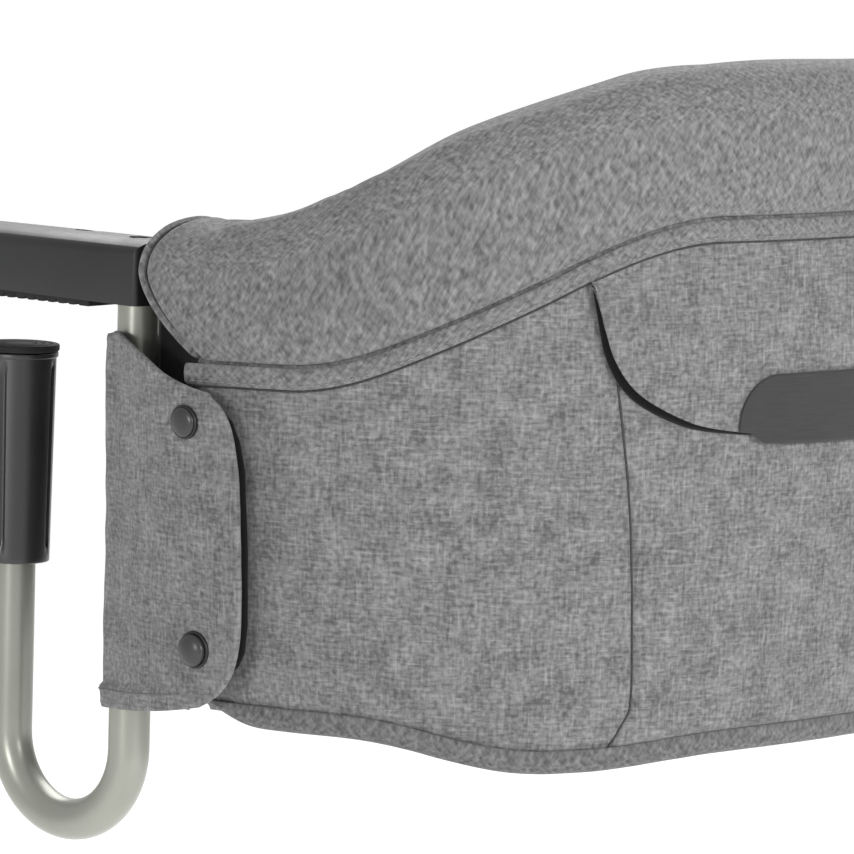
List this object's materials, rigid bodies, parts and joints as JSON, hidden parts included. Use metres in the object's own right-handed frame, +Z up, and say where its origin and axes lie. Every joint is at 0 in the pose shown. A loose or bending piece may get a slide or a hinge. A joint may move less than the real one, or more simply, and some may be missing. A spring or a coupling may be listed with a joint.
{
  "type": "hook on table chair",
  "caption": "Fabric bucket seat on a curved rear rail, hung from a table edge by toothed arms above and screw clamps on hooks below.",
  "frame": {"origin": "midway between the two posts, on the plane of the table top, where the grips bear on it", "axes": "+X to the sitter's left-hand post side called right in the node names, +Y from the table towards the back of the seat, +Z up"},
  "size_m": [0.4418, 0.3645, 0.3109],
  "materials": {
    "frame_paint": "warm silver satin paint on steel tube",
    "arm_plastic": "charcoal satin moulded plastic",
    "black_plastic": "black satin moulded plastic",
    "black_rubber": "black matte rubber",
    "bright_steel": "bright plated steel",
    "grey_fabric": "mid-grey slubbed melange canvas, stitched",
    "dark_fabric": "dark grey woven lining",
    "black_webbing": "black woven polyester webbing"
  },
  "bodies": {
    "seat_frame": {"rear_rail": "frame_paint", "rail_socket_right": "black_plastic", "rail_socket_left": "black_plastic", "post_wrap_right": "grey_fabric", "post_wrap_left": "grey_fabric", "snap_upper_right": "black_plastic", "snap_upper_left": "black_plastic", "snap_lower_right": "black_plastic", "snap_lower_left": "black_plastic", "lap_strap_right": "black_webbing", "lap_strap_left": "black_webbing", "buckle_tongue_right": "black_plastic", "buckle_tongue_left": "black_plastic", "top_cover": "grey_fabric", "seat_wall": "grey_fabric", "hem_binding": "grey_fabric", "seam_tape": "grey_fabric", "inner_lining": "dark_fabric", "pocket_panel": "grey_fabric", "pocket_flap": "grey_fabric", "flap_patch": "dark_fabric", "bottom_panel": "grey_fabric", "base_board": "black_plastic", "base_cushion": "dark_fabric", "front_panel": "grey_fabric", "crotch_strap": "black_webbing", "buckle_housing": "black_plastic"},
    "arm_assembly_right": {"arm_right": "arm_plastic", "arm_screw_right": "bright_steel", "arm_grip_right": "black_rubber", "button_spring_right": "bright_steel", "hook_tube_right": "frame_paint", "leg_plug_right": "black_plastic"},
    "arm_assembly_left": {"arm_left": "arm_plastic", "arm_screw_left": "bright_steel", "arm_grip_left": "black_rubber", "button_spring_left": "bright_steel", "hook_tube_left": "frame_paint", "leg_plug_left": "black_plastic"},
    "pad_right": {"clamp_pad_right": "black_rubber"},
    "pad_left": {"clamp_pad_left": "black_rubber"},
    "sleeve_right": {"clamp_sleeve_right": "black_plastic"},
    "sleeve_left": {"clamp_sleeve_left": "black_plastic"},
    "button_right": {"fold_button_right": "black_plastic"},
    "button_left": {"fold_button_left": "black_plastic"},
    "bolt_right": {"latch_bolt_right": "bright_steel"},
    "bolt_left": {"latch_bolt_left": "bright_steel"},
    "release_button": {"buckle_button": "black_plastic"}
  },
  "joints": [
    {"name": "arm_fold_right", "type": "hinge", "parent": "seat_frame", "child": "arm_assembly_right", "pos_m": [0.195, 0, 0], "axis": [0, 0, 1], "range_deg": [-90, 0]},
    {"name": "arm_fold_left", "type": "hinge", "parent": "seat_frame", "child": "arm_assembly_left", "pos_m": [-0.195, 0, 0], "axis": [0, 0, 1], "range_deg": [0, 90]},
    {"name": "clamp_travel_right", "type": "slide", "parent": "arm_assembly_right", "child": "pad_right", "axis": [0, 0, 1], "range_m": [-0.06, 0]},
    {"name": "clamp_travel_left", "type": "slide", "parent": "arm_assembly_left", "child": "pad_left", "axis": [0, 0, 1], "range_m": [-0.06, 0]},
    {"name": "sleeve_spin_right", "type": "hinge", "parent": "pad_right", "child": "sleeve_right", "pos_m": [0.195, -0.0632, -0.06], "axis": [0, 0, 1], "range_deg": [-1800, 0]},
    {"name": "sleeve_spin_left", "type": "hinge", "parent": "pad_left", "child": "sleeve_left", "pos_m": [-0.195, -0.0632, -0.06], "axis": [0, 0, 1], "range_deg": [-1800, 0]},
    {"name": "press_button_right", "type": "slide", "parent": "arm_assembly_right", "child": "button_right", "axis": [0, 0, -1], "range_m": [0, 0.003], "stiffness_N_per_m": 300, "springref_m": -0.002, "deforming": ["button_spring_right"]},
    {"name": "press_button_left", "type": "slide", "parent": "arm_assembly_left", "child": "button_left", "axis": [0, 0, -1], "range_m": [0, 0.003], "stiffness_N_per_m": 300, "springref_m": -0.002, "deforming": ["button_spring_left"]},
    {"name": "bolt_draw_right", "type": "slide", "parent": "arm_assembly_right", "child": "bolt_right", "axis": [0, -1, 0], "range_m": [0, 0.003]},
    {"name": "bolt_draw_left", "type": "slide", "parent": "arm_assembly_left", "child": "bolt_left", "axis": [0, -1, 0], "range_m": [0, 0.003]},
    {"name": "buckle_release", "type": "slide", "parent": "seat_frame", "child": "release_button", "axis": [0, 0, -1], "range_m": [0, 0.0025], "stiffness_N_per_m": 400, "springref_m": -0.002}
  ],
  "couplings": [
    {"joint": "clamp_travel_right", "follows": "sleeve_spin_right", "m_per_rad": 0.0019099},
    {"joint": "clamp_travel_left", "follows": "sleeve_spin_left", "m_per_rad": 0.0019099},
    {"joint": "bolt_draw_right", "follows": "press_button_right", "ratio": 1},
    {"joint": "bolt_draw_left", "follows": "press_button_left", "ratio": 1}
  ]
}
